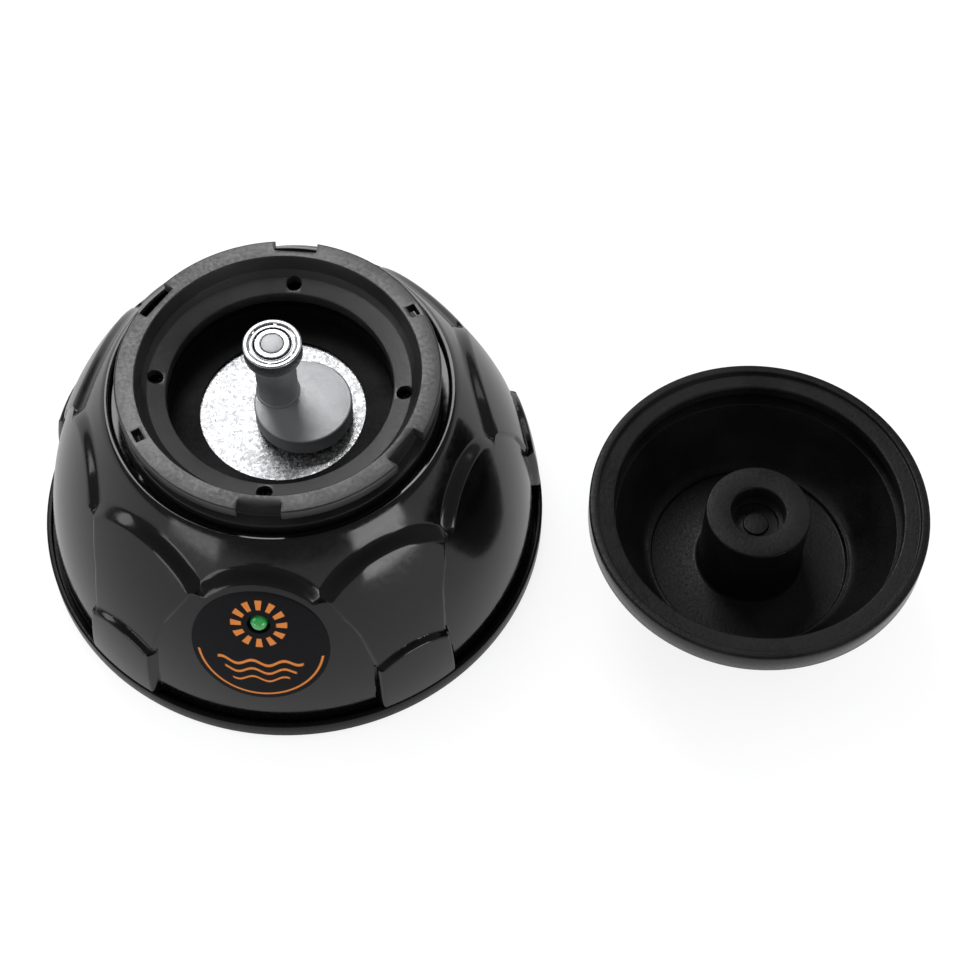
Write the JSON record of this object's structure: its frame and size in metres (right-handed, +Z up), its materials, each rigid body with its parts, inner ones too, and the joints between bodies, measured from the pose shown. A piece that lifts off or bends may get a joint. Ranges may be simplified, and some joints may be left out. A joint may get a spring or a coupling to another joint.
{
  "type": "nail polish bottle shaker",
  "caption": "Orbital bottle shaker: glossy domed base, bayonet collar, motor-driven eccentric crank with bearing, lamp and label; its rubber cup lies upside down beside it.",
  "frame": {"origin": "centre of the round pad's underside, on the table", "axes": "+Z up along the motor shaft, -Y towards the label and lamp, +X towards the lifted-off cup"},
  "size_m": [0.2082, 0.12, 0.0707],
  "materials": {
    "dome_plastic": "gloss",
    "base_plastic": "satin",
    "collar_plastic": "satin",
    "mount_plastic": "matte",
    "pad_rubber": "matte",
    "cup_rubber": "matte",
    "lead_dark": "satin",
    "lead_red": "satin",
    "can_steel": "spangled zinc",
    "crank_metal": "turned",
    "shaft_steel": "ground",
    "screw_steel": "plated",
    "dark_steel": "black oxide",
    "bearing_steel": "polished",
    "bush_bronze": "sintered",
    "terminal_brass": "plated",
    "copper": "enamelled",
    "magnet": "matte",
    "label_film": "matte, with a warm geometric motif",
    "green_lens": "clear-coated",
    "board_green": "matte",
    "rocker_red": "gloss"
  },
  "bodies": {
    "base": {"non_slip_pad": "pad_rubber", "base_plate": "base_plastic", "case_screws": "screw_steel", "dome_shell": "dome_plastic", "bayonet_collar": "collar_plastic", "collar_screws": "dark_steel", "motor_mount": "mount_plastic", "motor_can": "can_steel", "motor_magnets": "magnet", "front_bush": "bush_bronze", "end_bell": "mount_plastic", "rear_bush": "bush_bronze", "motor_brushes": "magnet", "motor_terminals": "terminal_brass", "clamp_bar": "can_steel", "clamp_screws": "screw_steel", "label_disc": "label_film", "lamp": "green_lens", "lamp_board": "board_green", "power_socket": "mount_plastic", "socket_contact_pin": "terminal_brass", "socket_nut": "screw_steel", "switch_housing": "mount_plastic", "switch_terminals": "terminal_brass", "supply_lead": "lead_red", "motor_leads": "lead_dark", "lamp_leads": "lead_dark"},
    "crank": {"motor_shaft": "shaft_steel", "armature_core": "shaft_steel", "armature_windings": "copper", "commutator": "copper", "eccentric_crank": "crank_metal", "set_screw": "dark_steel", "bearing_inner_ring": "bearing_steel"},
    "bearing": {"bearing_outer_ring": "bearing_steel", "bearing_balls": "bearing_steel", "bearing_shields": "bearing_steel"},
    "rocker": {"rocker": "rocker_red"},
    "cup": {"rubber_cup": "cup_rubber"}
  },
  "joints": [
    {"name": "crank_spin", "type": "hinge", "parent": "base", "child": "crank", "pos_m": [0, 0, 0.05], "axis": [0, 0, 1], "continuous": true},
    {"name": "bearing_spin", "type": "hinge", "parent": "crank", "child": "bearing", "pos_m": [-0.00086, 0.00169, 0.0686], "axis": [0, 0, 1], "continuous": true},
    {"name": "rocker_press", "type": "hinge", "parent": "base", "child": "rocker", "pos_m": [-0.03352, 0.04614, 0.02233], "axis": [-0.809, -0.5878, 0], "range_deg": [-20, 0]},
    {"name": "cup_lift", "type": "slide", "parent": "base", "child": "cup", "axis": [0, 0, 1], "range_m": [0, 0.08]}
  ]
}
